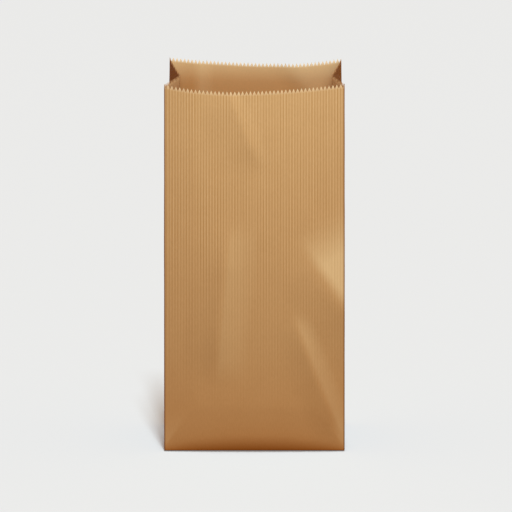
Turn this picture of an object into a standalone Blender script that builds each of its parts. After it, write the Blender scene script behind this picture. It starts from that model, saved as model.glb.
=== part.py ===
"""Brown paper lunch bag: one sheet of kraft paper, folded and glued into a block-bottom bag, stood open.

Metres, Z up. The origin is the middle of the base on the table, and the plain wide panel faces -Y.
Going round the bag as seen from above, the walls are the front panel, the two halves of the right gusset, the
back panel and the two halves of the left gusset.
"""

from collections import namedtuple
from math import floor, sqrt

import bmesh
import bpy
from mathutils import Vector

# The sheet and the bag it makes
PAPER = 0.0001  # one layer of kraft paper
BAG_WIDTH = 0.1302  # across the front panel, fold to fold
BAG_DEPTH = 0.0794  # across a gusset laid flat, fold to fold
BAG_HEIGHT = 0.2732  # from the table to the tips of the teeth at the folds
BASE_LAYERS = 2  # layers of the base above its two long flaps
SEAM_WIDTH = 0.0120  # the glued overlap down the back panel
SEAM_FROM_MIDDLE = 0.0180  # the seam's middle, to the right of the panel's middle
FLAP_OVERLAP = 0.0220  # the long bottom flaps over each other, along Y
FLAP_SETBACK = 0.0004  # a flap's fold behind the wall that it folds from
END_FLAP_LENGTH = 0.0450  # the flaps folded in from the gussets, along X

# The cut edge
TOOTH_PITCH = 0.00283
TOOTH_DEPTH = 0.0031
RIM_SCOOP = 0.0032  # how much lower the knife cuts at the middle than at the folds
FRONT_RIM_SKEW = 0.0015  # the front rim hangs lower on its left
BACK_RIM_SKEW = 0.0006  # the back rim hangs lower on its right
FRONT_RIM_TILT = 0.0002  # the front rim's right end stands up by this
BACK_RIM_TILT = 0.0005  # the back rim's right end hangs down by this

# How the open bag stands
FRONT_BOW = 0.0030  # the front panel swells outwards towards the rim
BACK_BOW = 0.0055  # the back panel sinks inwards towards the rim
BOW_LEAN = 0.6  # share by which the bow leans to the side where the rim hangs lowest
BOW_POWER = 1.6  # how late the bow grows towards the rim
GUSSET_IN_LEFT = 0.0117  # the gussets' middle folds, pushed in at the rim
GUSSET_IN_RIGHT = 0.0095
GUSSET_IN_LOW = 0.0020  # the same folds at their foot, where the base creases meet
CORNER_IN_LEFT = 0.0040  # the back folds, drawn in at the rim
CORNER_IN_RIGHT = 0.0024
CORNER_REACH = 0.1200  # how far down the back folds lean in

# The lower edge and the creases left by folding the bag flat
CURL_OUT = 0.0034  # the wide panels belly out above the base
CURL_HEIGHT = 0.0130
CORNER_RISE = 1.6  # slope of the creases that rise from the bottom corners
LEAN_TOP = 0.0340  # the height at which those creases end
LEAN_SLOPE = 0.060  # how steeply the panel leans outwards below them
BACK_CREASE_IN = 0.0012  # the crease across the back, level with the gussets' foot
BACK_CREASE_REACH = 0.0300
EDGE_FADE = 8  # power that holds the soft folds off the fold edges

# Mesh
SHOULDER = 0.0010  # plain strip under the teeth
ROW_PITCH = 0.0125
KRAFT_COLOUR = (0.565, 0.337, 0.150, 1.0)

FRONT, RIGHT_FRONT, RIGHT_BACK, BACK, LEFT_BACK, LEFT_FRONT = range(6)

# A soft fold is a straight crest from head to foot, given as x from the panel's middle and height, with one
# flank to its left and one to its right.
SoftFold = namedtuple("SoftFold", "head foot lift left right")
FLANK_POWER = 1.5  # how much a flank flattens out away from its crest
RIM_FOLD = SoftFold((-0.0220, 0.2790), (0.0060, 0.2090), 0.0026, 0.0280, 0.0080)
UPRIGHT_FOLD = SoftFold((-0.0180, 0.1780), (-0.0300, 0.0480), 0.0036, 0.0250, 0.0160)
CORNER_FOLD = SoftFold((0.0250, 0.1080), (0.0651, 0.0020), 0.0024, 0.0200, 0.0090)
FRONT_FOLDS = (RIM_FOLD, UPRIGHT_FOLD, CORNER_FOLD)
# this one runs over the front panel's right fold and draws it outwards
EDGE_FOLD = SoftFold((0.0240, 0.1620), (0.1500, -0.0144), 0.0050, 0.0320, 0.0480)
# the back panel's, which sink into the bag
BACK_UPRIGHT_FOLD = SoftFold((-0.0450, 0.3000), (-0.0430, 0.1700), 0.0016, 0.0200, 0.0090)
BACK_CORNER_FOLD = SoftFold((0.0160, 0.2900), (0.0660, 0.2200), 0.0024, 0.0120, 0.0300)
BACK_FOLDS = (BACK_UPRIGHT_FOLD, BACK_CORNER_FOLD)

Column = namedtuple("Column", "panel along body lap")


def ease(value):
    """Runs from 0 to 1 with a level start and end."""
    value = min(max(value, 0.0), 1.0)
    return value * value * (3.0 - 2.0 * value)


def mix(a, b, share):
    return a + (b - a) * share


def soft_fold(fold, x, z):
    """How far one soft fold lifts the paper at a point of a wide panel."""
    run_x = fold.foot[0] - fold.head[0]
    run_z = fold.foot[1] - fold.head[1]
    length = sqrt(run_x * run_x + run_z * run_z)
    along = ((x - fold.head[0]) * run_x + (z - fold.head[1]) * run_z) / length**2
    across = ((z - fold.head[1]) * run_x - (x - fold.head[0]) * run_z) / length
    flank = fold.right if across > 0 else fold.left
    crest = max(0.0, 1.0 - abs(across) / flank) ** FLANK_POWER
    return fold.lift * crest * ease(3.0 * min(along, 1.0 - along))


def curl_out(side, z):
    """How far a wide panel bellies out above its bottom fold. side runs from -1 to 1 across the panel."""
    middle = 1.0 - side * side
    height = CURL_HEIGHT * mix(0.5, 1.0, middle)
    return CURL_OUT * middle * (1.0 - max(0.0, 1.0 - z / height) ** 2)


def lean_out(side, z):
    """How far the front panel leans outwards between the creases that rise from its bottom corners."""
    from_fold = (1.0 - abs(side)) * BAG_WIDTH / 2
    crease = min(CORNER_RISE * from_fold, LEAN_TOP)
    return LEAN_SLOPE * min(z, crease)


def bow(side, z, lean):
    rise = max(z, 0.0) / BAG_HEIGHT
    return rise**BOW_POWER * (1.0 - side * side) * (1.0 + lean * side)


def edge_out(z):
    """How far the edge fold draws the front panel's right fold outwards where it runs over it."""
    return soft_fold(EDGE_FOLD, BAG_WIDTH / 2, z)


def front_out(side, z):
    """How far the front panel stands outside the plane of its folds."""
    x = side * BAG_WIDTH / 2
    folds = sum(soft_fold(fold, x, z) for fold in FRONT_FOLDS)
    held = 1.0 - abs(side) ** EDGE_FADE
    edge = soft_fold(EDGE_FOLD, x, z) - edge_out(z) * (1 + side) / 2
    return FRONT_BOW * bow(side, z, -BOW_LEAN) + folds * held + edge + curl_out(side, z) + lean_out(side, z)


def back_in(side, z):
    """How far the back panel stands inside the plane of its folds."""
    held = 1.0 - abs(side) ** EDGE_FADE
    crease = max(0.0, 1.0 - abs(z - BAG_DEPTH / 2) / BACK_CREASE_REACH)
    folds = BACK_CREASE_IN * crease**2 + sum(soft_fold(fold, side * BAG_WIDTH / 2, z) for fold in BACK_FOLDS)
    return BACK_BOW * bow(side, z, BOW_LEAN) + folds * held - curl_out(side, z)


def gusset_in(z, at_rim):
    """How far a gusset's middle fold is pushed in. It runs straight from the foot to the rim."""
    foot = BAG_DEPTH / 2
    if z < foot:
        return GUSSET_IN_LOW * z / foot
    return mix(GUSSET_IN_LOW, at_rim, (z - foot) / (BAG_HEIGHT - foot))


def corner_in(z, at_rim):
    return at_rim * ease((z - BAG_HEIGHT + CORNER_REACH) / CORNER_REACH)


def fold_lines(z, hand):
    """One side's front fold, middle fold and back fold. hand is 1 on the right and -1 on the left."""
    half_width = BAG_WIDTH / 2
    half_depth = BAG_DEPTH / 2
    pushed = gusset_in(z, GUSSET_IN_RIGHT if hand > 0 else GUSSET_IN_LEFT)
    drawn = corner_in(z, CORNER_IN_RIGHT if hand > 0 else CORNER_IN_LEFT)
    eased = edge_out(z) if hand > 0 else 0.0
    middle_y = sqrt(half_depth**2 - pushed**2) - half_depth
    back_y = middle_y + sqrt(half_depth**2 - (pushed - drawn) ** 2)
    front = Vector((hand * half_width, -half_depth - eased))
    middle = Vector((hand * (half_width - pushed), middle_y - eased / 2))
    return front, middle, Vector((hand * (half_width - drawn), back_y))


def gusset_point(z, hand, from_middle):
    """A point on a gusset. from_middle is -1 at the front fold, 0 at the middle fold and 1 at the back."""
    front, middle, back = fold_lines(z, hand)
    share = abs(from_middle)
    point = middle.lerp(back if from_middle > 0 else front, share)
    foot = BAG_DEPTH / 2
    if z < foot:
        # below the foot the gusset is a flat triangle between two creases that rise from the bottom corners
        pushed = GUSSET_IN_LOW * min(z / foot, 1.0 - share)
        point.x = hand * (BAG_WIDTH / 2 - pushed)
    return point


def wall_point(panel, along, z):
    """A point on the outside of a wall. along runs from 0 to 1 in the direction round the bag."""
    if panel == FRONT:
        left = fold_lines(z, -1)[0]
        right = fold_lines(z, 1)[0]
        point = left.lerp(right, along)
        point.y -= front_out(2 * along - 1, z)
    elif panel == BACK:
        right = fold_lines(z, 1)[2]
        left = fold_lines(z, -1)[2]
        point = right.lerp(left, along)
        point.y -= back_in(1 - 2 * along, z)
    elif panel == RIGHT_FRONT:
        point = gusset_point(z, 1, along - 1)
    elif panel == RIGHT_BACK:
        point = gusset_point(z, 1, along)
    elif panel == LEFT_BACK:
        point = gusset_point(z, -1, 1 - along)
    else:
        point = gusset_point(z, -1, -along)
    return Vector((point.x, point.y, z + settle(panel, along, z)))


def settle(panel, along, z):
    """How far the standing paper rises or sinks near the rim, where it isn't quite even."""
    side = {FRONT: 2 * along - 1, BACK: 1 - 2 * along}.get(panel)
    if panel == FRONT:
        shift = FRONT_RIM_TILT * side + FRONT_RIM_SKEW * side * (1 - side * side)
    elif panel == BACK:
        shift = -BACK_RIM_TILT * side - BACK_RIM_SKEW * side * (1 - side * side)
    else:
        hand = 1 if panel in (RIGHT_FRONT, RIGHT_BACK) else -1
        to_back = {
            RIGHT_FRONT: along / 2,
            RIGHT_BACK: (1 + along) / 2,
            LEFT_BACK: 1 - along / 2,
            LEFT_FRONT: (1 - along) / 2,
        }[panel]
        shift = hand * mix(FRONT_RIM_TILT, -BACK_RIM_TILT, to_back)
    return shift * (max(z, 0.0) / BAG_HEIGHT) ** 3


def panel_width(panel):
    return BAG_WIDTH if panel in (FRONT, BACK) else BAG_DEPTH / 2


def tooth_count(panel):
    return max(2, round(panel_width(panel) / TOOTH_PITCH))


def tip_height(panel, along):
    """Height of the line through the teeth's tips. The knife cuts the flattened bag, all layers at once."""
    if panel in (FRONT, BACK):
        flat_x = abs(2 * along - 1) * BAG_WIDTH / 2
    else:
        from_edge = along if panel in (RIGHT_FRONT, LEFT_BACK) else 1 - along
        flat_x = BAG_WIDTH / 2 - from_edge * BAG_DEPTH / 2
    return BAG_HEIGHT - RIM_SCOOP * (1.0 - (2 * flat_x / BAG_WIDTH) ** 2)


def rim_height(panel, along):
    """Height of the toothed edge itself."""
    phase = along * tooth_count(panel)
    from_tip = 2.0 * abs(phase - floor(phase + 0.5))
    return tip_height(panel, along) - TOOTH_DEPTH * from_tip


def shoulder_height(panel, along):
    return tip_height(panel, along) - TOOTH_DEPTH - SHOULDER


def tooth_columns(panel):
    """Columns at every tip and valley of one panel. Every second tip carries a column down the wall."""
    steps = 2 * tooth_count(panel)
    return [Column(panel, i / steps, i % 4 == 0, (False,)) for i in range(steps)]


def with_seam(columns):
    """Adds the two edges of the glued overlap to the back panel's columns."""
    middle = 0.5 - SEAM_FROM_MIDDLE / BAG_WIDTH
    half = SEAM_WIDTH / BAG_WIDTH / 2
    start, end = middle - half, middle + half
    near = 0.15 * TOOTH_PITCH / BAG_WIDTH
    kept = [c for c in columns if min(abs(c.along - start), abs(c.along - end)) > near or c.along == 0]
    lapped = [c._replace(lap=(start < c.along < end,)) for c in kept]
    lapped.append(Column(BACK, start, True, (False, True)))
    lapped.append(Column(BACK, end, True, (True, False)))
    return sorted(lapped, key=lambda c: c.along)


def ring_columns():
    columns = []
    for panel in range(6):
        row = tooth_columns(panel)
        columns += with_seam(row) if panel == BACK else row
    return columns


def outward(points):
    """The horizontal direction out of a ring at each point, longer at corners so that walls stay as thick."""
    directions = []
    for i, point in enumerate(points):
        before = (point - points[i - 1]).xy.normalized()
        after = (points[(i + 1) % len(points)] - point).xy.normalized()
        bisector = (before + after).normalized()
        stretch = 1.0 / max(0.5, bisector.dot(after))
        directions.append(Vector((bisector.y, -bisector.x, 0.0)) * stretch)
    return directions


def base_height():
    """The underside of the base proper, above its two long flaps."""
    return 2 * PAPER


def row_heights(columns):
    """For each row of the walls, the height of each body column."""
    foot = BAG_DEPTH / 2
    low_rows = len([c for c in columns if c.panel == RIGHT_FRONT and c.body])
    body = [c for c in columns if c.body]
    rows = [[mix(base_height(), foot, i / low_rows)] * len(body) for i in range(low_rows)]
    high_rows = round((BAG_HEIGHT - foot) / ROW_PITCH)
    for i in range(high_rows + 1):
        rows.append([mix(foot, shoulder_height(c.panel, c.along), i / high_rows) for c in body])
    return rows, low_rows


class Shell:
    """Collects the bag's points and faces. A column has one inner point in a row and one or two outer ones."""

    def __init__(self):
        self.points = []
        self.faces = []

    def add(self, point):
        self.points.append(point)
        return len(self.points) - 1

    def add_ring(self, columns, heights, inner_heights=None):
        """Returns the ring's outer point numbers, a tuple for each column, and its inner ones."""
        middle = [wall_point(c.panel, c.along, z) for c, z in zip(columns, heights)]
        directions = outward(middle)
        inner_heights = inner_heights or heights
        outer, inner = [], []
        for column, point, out, z in zip(columns, middle, directions, inner_heights):
            outer.append(tuple(self.add(point + out * (PAPER if lap else 0.0)) for lap in column.lap))
            inside = wall_point(column.panel, column.along, z) - out * PAPER
            inner.append(self.add(inside))
        return outer, inner

    def add_face(self, *corners):
        distinct = list(dict.fromkeys(corners))
        if len(distinct) > 2:
            self.faces.append(distinct)


def add_walls(shell, columns):
    """The walls from the base to the shoulder below the teeth. Returns the lowest and highest rings."""
    body = [c for c in columns if c.body]
    rows, low_rows = row_heights(columns)
    floor_height = base_height() + BASE_LAYERS * PAPER
    rings = [shell.add_ring(body, rows[0], [floor_height] * len(body))]
    rings += [shell.add_ring(body, heights) for heights in rows[1:]]
    for row in range(len(rings) - 1):
        (outer_low, inner_low), (outer_high, inner_high) = rings[row], rings[row + 1]
        for i, column in enumerate(body):
            k = (i + 1) % len(body)
            quads = [(outer_low[i][-1], outer_low[k][0], outer_high[k][0], outer_high[i][-1])]
            quads.append((inner_low[k], inner_low[i], inner_high[i], inner_high[k]))
            rising = column.panel in (RIGHT_FRONT, LEFT_BACK)
            falling = column.panel in (RIGHT_BACK, LEFT_FRONT)
            for a, b, c, d in quads:
                inside = a == inner_low[k]
                if row < low_rows and (rising or falling):
                    if rising != inside:
                        shell.add_face(a, b, c)
                        shell.add_face(a, c, d)
                    else:
                        shell.add_face(a, b, d)
                        shell.add_face(b, c, d)
                else:
                    shell.add_face(a, b, c, d)
            if len(outer_low[i]) == 2:
                shell.add_face(outer_low[i][0], outer_low[i][1], outer_high[i][1], outer_high[i][0])
    return rings[0], rings[-1]


def add_teeth(shell, columns, shoulder):
    """The toothed strip above the shoulder, and the cut edge between its two faces."""
    outer_low, inner_low = shoulder
    rim_heights = [rim_height(c.panel, c.along) for c in columns]
    outer_rim, inner_rim = shell.add_ring(columns, rim_heights)
    starts = [i for i, c in enumerate(columns) if c.body]
    for n, start in enumerate(starts):
        following = (n + 1) % len(starts)
        stop = starts[following] or len(columns)
        span = [i % len(columns) for i in range(start, stop + 1)]
        outer_top = [outer_rim[i][-1] for i in span[:-1]] + [outer_rim[span[-1]][0]]
        inner_top = [inner_rim[i] for i in span]
        shell.add_face(outer_low[n][-1], outer_low[following][0], *reversed(outer_top))
        shell.add_face(inner_low[following], inner_low[n], *inner_top)
        if len(outer_low[n]) == 2:
            shell.add_face(outer_low[n][0], outer_low[n][1], outer_rim[start][1], outer_rim[start][0])
        for i, k in zip(span, span[1:]):
            # where the overlap's edge is thicker than the next stretch, the thinner one's corner lies between
            after = [outer_rim[k][1]] if columns[k].lap == (True, False) else []
            before = [outer_rim[i][0]] if columns[i].lap == (False, True) else []
            shell.add_face(outer_rim[i][-1], outer_rim[k][0], *after, inner_rim[k], inner_rim[i], *before)


def add_base(shell, lowest):
    outer, inner = lowest
    shell.add_face(*reversed([number for pair in outer for number in pair]))
    shell.add_face(*inner)


def mesh_object(name, points, faces):
    mesh = bpy.data.meshes.new(name)
    mesh.from_pydata(points, [], faces)
    grid = bmesh.new()
    grid.from_mesh(mesh)
    bmesh.ops.triangulate(grid, faces=[f for f in grid.faces if len(f.verts) > 4])
    grid.to_mesh(mesh)
    grid.free()
    item = bpy.data.objects.new(name, mesh)
    bpy.context.collection.objects.link(item)
    return item


def plate(name, outline, low, high):
    """A flat plate of folded paper with the given outline, hidden because it is joined into the bag."""
    count = len(outline)
    points = [(x, y, low) for x, y in outline] + [(x, y, high) for x, y in outline]
    faces = [list(reversed(range(count))), list(range(count, 2 * count))]
    for i in range(count):
        k = (i + 1) % count
        faces.append([i, k, count + k, count + i])
    item = mesh_object(name, points, faces)
    item.hide_render = True
    item.display_type = "WIRE"
    return item


def long_flap(side):
    """Outline of a long bottom flap, folded in from the front with side -1 and from the back with side 1."""
    fold_x = BAG_WIDTH / 2 - FLAP_SETBACK
    fold_y = BAG_DEPTH / 2 - FLAP_SETBACK
    edge_y = FLAP_OVERLAP / 2
    edge_x = fold_x - (fold_y + edge_y)  # the sides are folded in at 45 degrees
    corners = [(-fold_x, -fold_y), (fold_x, -fold_y), (edge_x, edge_y), (-edge_x, edge_y)]
    if side < 0:
        return corners
    return [(-x, -y) for x, y in corners]


def end_flap(hand):
    """Outline of the flap folded in from a gusset, seen on the floor of the bag."""
    setback = FLAP_SETBACK + PAPER
    inner_x = BAG_WIDTH / 2 - END_FLAP_LENGTH
    outer_x = BAG_WIDTH / 2 - setback
    half_depth = BAG_DEPTH / 2 - setback
    corners = [(inner_x, -half_depth), (outer_x, -half_depth), (outer_x, half_depth), (inner_x, half_depth)]
    if hand > 0:
        return corners
    return [(-x, -y) for x, y in corners]


def kraft_paper():
    material = bpy.data.materials.new("kraft_paper")
    material.use_nodes = True
    shader = material.node_tree.nodes["Principled BSDF"]
    shader.inputs["Base Color"].default_value = KRAFT_COLOUR
    shader.inputs["Roughness"].default_value = 0.85
    shader.inputs["Metallic"].default_value = 0.0
    return material


def paper_bag():
    columns = ring_columns()
    shell = Shell()
    lowest, shoulder = add_walls(shell, columns)
    add_teeth(shell, columns, shoulder)
    add_base(shell, lowest)
    bag = mesh_object("paper_bag", shell.points, shell.faces)
    bag.data.materials.append(kraft_paper())
    into_base = base_height() + 0.5 * PAPER
    floor_height = base_height() + BASE_LAYERS * PAPER
    plates = [
        plate("front_flap", long_flap(-1), PAPER, into_base),
        plate("back_flap", long_flap(1), 0.0, into_base),
        plate("left_end_flap", end_flap(-1), floor_height - 0.5 * PAPER, floor_height + PAPER),
        plate("right_end_flap", end_flap(1), floor_height - 0.5 * PAPER, floor_height + PAPER),
    ]
    for item in plates:
        union = bag.modifiers.new(item.name, "BOOLEAN")
        union.operation = "UNION"
        union.solver = "EXACT"
        union.object = item
    return bag


def main():
    for item in list(bpy.data.objects):
        bpy.data.objects.remove(item)
    paper_bag()


main()
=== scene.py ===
"""Brown paper lunch bag: its folds, ribbed face, toothed cut and kraft paper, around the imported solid.

Metres, in the solid's own frame: Z up, the origin in the middle of the base, the plain panel facing -Y. Going
round the bag as seen from above, the walls are the front panel, the two halves of the right gusset, the back
panel and the two halves of the left gusset.
"""

from collections import namedtuple
from math import cos, exp, hypot, pi, radians, sin, sqrt

import bpy
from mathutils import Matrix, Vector, noise


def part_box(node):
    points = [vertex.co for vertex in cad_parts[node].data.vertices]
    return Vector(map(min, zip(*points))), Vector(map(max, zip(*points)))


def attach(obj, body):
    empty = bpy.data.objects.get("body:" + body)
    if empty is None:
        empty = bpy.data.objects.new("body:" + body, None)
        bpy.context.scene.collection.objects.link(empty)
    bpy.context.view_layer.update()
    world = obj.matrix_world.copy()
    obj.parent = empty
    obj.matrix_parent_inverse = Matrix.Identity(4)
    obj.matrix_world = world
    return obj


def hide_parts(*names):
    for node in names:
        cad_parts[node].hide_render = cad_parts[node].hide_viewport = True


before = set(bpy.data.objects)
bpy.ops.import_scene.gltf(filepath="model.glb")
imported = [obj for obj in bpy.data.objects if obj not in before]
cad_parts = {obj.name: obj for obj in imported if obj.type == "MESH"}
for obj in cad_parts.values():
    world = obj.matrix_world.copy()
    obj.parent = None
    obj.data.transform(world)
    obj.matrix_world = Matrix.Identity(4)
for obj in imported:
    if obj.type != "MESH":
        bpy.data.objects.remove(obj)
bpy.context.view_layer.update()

# The cut edge
TOOTH_PITCH = 0.00283
TOOTH_DEPTH = 0.0031
TOOTH_CURVE = 1.05  # power by which a tooth's sides bulge
TIP_FADE = 1.6  # how fast the cut's paleness fades from a tip to the valleys half a tooth away
RIM_SCOOP = 0.0032  # how much lower the knife cuts at the middle than at the folds
FRONT_RIM_SKEW = 0.0015  # the front rim hangs lower on its left
BACK_RIM_SKEW = 0.0006  # the back rim hangs lower on its right
FRONT_RIM_TILT = 0.0002  # the front rim's right end stands up by this
BACK_RIM_TILT = 0.0005  # the back rim's right end hangs down by this
SETTLE_POWER = 3  # how late that unevenness grows towards the rim

# The sheet and the bag it makes
solid_low, solid_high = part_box("paper_bag")
BAG_WIDTH = solid_high.x - solid_low.x  # across the front panel, fold to fold
BAG_HEIGHT = solid_high.z - BACK_RIM_TILT  # from the table to the tips of the teeth at the folds
BAG_DEPTH = 0.0794  # across a gusset laid flat, fold to fold
PAPER = 0.0001  # one layer of kraft paper
FOLD_RADIUS = 0.0007  # a fold's rounding, measured along the sheet to each side
FOLD_SHADE_REACH = 0.0013  # and how far from it the paper is darkened by painted shade
BASE_LAYERS = 2
FLAP_LAYERS = 2  # the long bottom flaps, one over the other under the base proper
SEAM_WIDTH = 0.0120  # the glued overlap down the back panel
SEAM_FROM_MIDDLE = 0.0180
SEAM_STEP = 0.00025  # how far the overlap's edges stand up from the panel
FLAP_OVERLAP = 0.0220  # the long bottom flaps over each other, along Y
FLAP_SETBACK = 0.0004  # a flap's fold behind the wall that it folds from
EDGE_LIFT = 0.0006  # the base's fold edges stand clear of the table by this
EDGE_REACH = 0.0070  # and come down to it over this width
END_FLAP_LENGTH = 0.0450

# How the open bag stands
FRONT_BOW = 0.0030  # the front panel swells outwards towards the rim
BACK_BOW = 0.0055  # the back panel sinks inwards towards the rim
BOW_LEAN = 0.6  # share by which the bow leans to the side where the rim hangs lowest
BOW_POWER = 1.6  # how late the bow grows towards the rim
GUSSET_IN_LEFT = 0.0117  # the gussets' middle folds, pushed in at the rim
GUSSET_IN_RIGHT = 0.0095
GUSSET_IN_LOW = 0.0020  # the same folds at their foot, where the base creases meet
CORNER_IN_LEFT = 0.0040  # the back folds, drawn in at the rim
CORNER_IN_RIGHT = 0.0024
CORNER_REACH = 0.1200  # how far down the back folds lean in

# The lower edge and the creases left by folding the bag flat
CURL_OUT = 0.0034  # the wide panels belly out above the base
CURL_HEIGHT = 0.0130
CURL_CORNER = 0.5  # share of that height at the corners
CORNER_RISE = 1.6  # slope of the creases that rise from the bottom corners
LEAN_TOP = 0.0340  # the height at which those creases end
LEAN_SLOPE = 0.060  # how steeply the panel leans outwards below them
BACK_CREASE_IN = 0.0012  # the crease across the back, level with the gussets' foot
BACK_CREASE_REACH = 0.0300
CREASE_BLEND = 0.0020  # how far a worn crease rounds off, as a difference of heights
EDGE_FADE = 8  # power that holds the soft folds off the fold edges
COCKLE = 0.00012  # the sheet's faint unevenness
COCKLE_SIZE = 0.030

# A soft fold is a straight crest from head to foot, given as x from the panel's middle and height. The crest
# stands out by lift and is rounded off over round, and left and right are its flanks' widths. Painted shade
# dulls the left flank and a painted highlight brightens the right one, by the shares dull and bright, full
# from the distance blend on.
SoftFold = namedtuple("SoftFold", "head foot lift left right round dull bright blend")
FLANK_POWER = 1.5  # how much a flank flattens out away from its crest
FOLD_ENDS = 3.0  # a soft fold is full between its first third and its last
RIM_FOLD = SoftFold(
    head=(-0.0220, 0.2790), foot=(0.0060, 0.2090), lift=0.0026, left=0.0280, right=0.0080, round=0.0005,
    dull=0.03, bright=0.02, blend=0.0050,
)
UPRIGHT_FOLD = SoftFold(
    head=(-0.0180, 0.1780), foot=(-0.0300, 0.0480), lift=0.0036, left=0.0250, right=0.0160, round=0.0005,
    dull=0.05, bright=0.09, blend=0.0040,
)
CORNER_FOLD = SoftFold(
    head=(0.0250, 0.1080), foot=(0.0651, 0.0020), lift=0.0024, left=0.0200, right=0.0090, round=0.0005,
    dull=0.07, bright=0.13, blend=0.0030,
)
FRONT_FOLDS = (RIM_FOLD, UPRIGHT_FOLD, CORNER_FOLD)
# this one runs over the front panel's right fold and draws it outwards
EDGE_FOLD = SoftFold(
    head=(0.0240, 0.1620), foot=(0.1500, -0.0144), lift=0.0050, left=0.0320, right=0.0480, round=0.0010,
    dull=0.03, bright=0.36, blend=0.0090,
)
# the back panel's, which sink into the bag
BACK_UPRIGHT_FOLD = SoftFold(
    head=(-0.0450, 0.3000), foot=(-0.0430, 0.1700), lift=0.0016, left=0.0200, right=0.0090, round=0.0030,
    dull=0.06, bright=0.07, blend=0.0040,
)
BACK_CORNER_FOLD = SoftFold(
    head=(0.0160, 0.2900), foot=(0.0660, 0.2200), lift=0.0024, left=0.0120, right=0.0300, round=0.0050,
    dull=0.03, bright=0.09, blend=0.0080,
)
BACK_FOLDS = (BACK_UPRIGHT_FOLD, BACK_CORNER_FOLD)
# painted highlight, from a little before the second one's crest on
BACK_CORNER_TONE = BACK_CORNER_FOLD._replace(head=(0.0010, 0.2900), foot=(0.0580, 0.2200))
BACK_TONES = (BACK_UPRIGHT_FOLD, BACK_CORNER_TONE)

# Painted light and shade: shares of a painted highlight, of a darker painted shade and of a warm brown
# painted shade; and the cut's paleness
CORNER_HIGHLIGHT = 0.13  # painted highlight outside the creases that rise from the bottom corners
CORNER_BLEND = 0.0030
TONE_REACH = 1.5  # a fold's right flank has painted highlight over this many of its widths
TONE_GAIN = 2.2  # a fold's painted highlight and shade grow this many times as fast from its crest's ends as its lift does
FOOT_SHADE = 0.80  # painted shade at the bottom fold
FOOT_SHADE_DARK = -0.34
FOOT_REACH = 0.0068  # the height over which both fade, at the middle of a panel
FOOT_CORNER = 0.30  # share of it at the corners
LOW_SHADE = 0.15  # and painted shade over the lower part, darker towards the bottom
LOW_REACH = 0.0900
GUSSET_SHADE_DARK = -0.50  # painted shade: the gussets darker and browner towards the rim
GUSSET_SHADE = 0.66
INNER_RIM_LIGHT = 0.23  # painted light on the inside, at the rim
INNER_DEEP_LIGHT = 0.07  # and less painted light from INNER_PALE_REACH below the rim on, where there is painted shade as well
INNER_PALE_REACH = 0.0210
INNER_SHADE = 0.50
OUTER_TIP = 0.48  # the teeth's tips are less pale outside than inside
GUSSET_TIP = 0.10  # and less pale on the gussets than on the wide panels: painted shade on the gussets' teeth

# The paper's colours, in sRGB: the pulp where it is thick and thin, and the tints of painted light and shade,
# and of the cut, that cover it by shares
PULP_THICK = "C0986A"
PULP_THIN = "C8A072"
SHADE_BROWN_TINT = "C16C00"
HIGHLIGHT_TINT = "FFE9BC"
SHADE_DARK_TINT = "5A3C0E"
FOLD_SHADE_TINT = "7A4218"  # painted shade on the fold edges
FOLD_SHADE_SHARE = 0.9
CUT_TINT = "FFEDCE"  # the sheet's inside, torn up by the knife

# The ribs rolled into the outer face
RIB_PITCH = 0.00206
RIB_DEPTH = 0.00020
RIB_FOOT = 0.020  # below this height the ribs are pressed flat, and above RIB_FULL they stand at full depth
RIB_FULL = 0.160
RIB_SHADE = (0.64, 0.94, 1.46)  # painted shade in their valleys, browner: red, green and blue fall in these proportions
RIB_SHADE_LEAST = 0.05  # by this much on the ribs that are rolled the least
RIB_SHADE_MOST = 0.25

# Mesh
SHOULDER = 0.0010  # plain strip under the teeth, halved by a row of points
COLUMNS_PER_TOOTH = 6
SHARP = radians(50)  # edges that turn by more than this are shaded sharp
UNDER_ROWS = 3  # rings of points under the base, over EDGE_REACH
INNER_SPAN = 3  # the smooth inner face has one column for this many of the outer face
# up to each height, the distance between two rows
ROW_ZONES = ((0.0130, 0.0012), (0.0397, 0.0022), (0.0950, 0.0050), (0.1600, 0.0033), (BAG_HEIGHT, 0.0052))

# The view and the light
VIEW_WIDTH = 0.3692  # what the picture takes in: the photograph's lines don't converge
AIM = Vector((0.00115, 0.0, 0.1353))
VIEW_ELEVATION = 14.2  # degrees
VIEW_DISTANCE = 3.0
BACKGROUND = "EAEAEA"
FLOOR_HALF = 8.0
FLOOR_TINT = "C7D8E1"
FLOOR_BOUNCE = "5A3A1C"  # how pale the floor is to the light that it throws back at the bag
FLOOR_EVENNESS = 0.22  # share of the floor's grey that no shadow reaches
ROOM_TINT = "FFA64A"
ROOM_LIGHT = 0.40
KEY_PLACE = Vector((0.035, -0.56, 0.56))
KEY_AIM = Vector((0.0, 0.0, 0.50))  # over the bag, so that the front darkens towards its foot
KEY_TINT = "DDF8FF"
KEY_POWER = 3.84
FRONT_LAMP_SIZE = 0.30
# the other lamps come from an azimuth and an elevation, in degrees
FILL_FROM = (8, 8)
FILL_DISTANCE = 1.40
FILL_POWER = 3.9
FILL_TINT = "FFEEB8"
REAR_FROM = (180, 35)
REAR_DISTANCE = 1.20
REAR_LAMP_SIZE = 0.40
REAR_POWER = 9.0
REAR_SIDE_AZIMUTHS = (-155, 146)
REAR_SIDE_ELEVATION = 12
REAR_SIDE_POWER = 1.0
REAR_SIDE_TINT = "FFE6C4"
STRIP_FROM = (6.5, 74)
STRIP_DISTANCE = 60
STRIP_WIDTH = 3.2
STRIP_LENGTH = 34.0
STRIP_POWER = 41500.0

PANELS = 6
FRONT, RIGHT_FRONT, RIGHT_BACK, BACK, LEFT_BACK, LEFT_FRONT = range(PANELS)

# A line down the sheet: its panel and place there, its distance round the flat sheet, and the teeth up to it
Column = namedtuple("Column", "panel along flat teeth")


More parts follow.
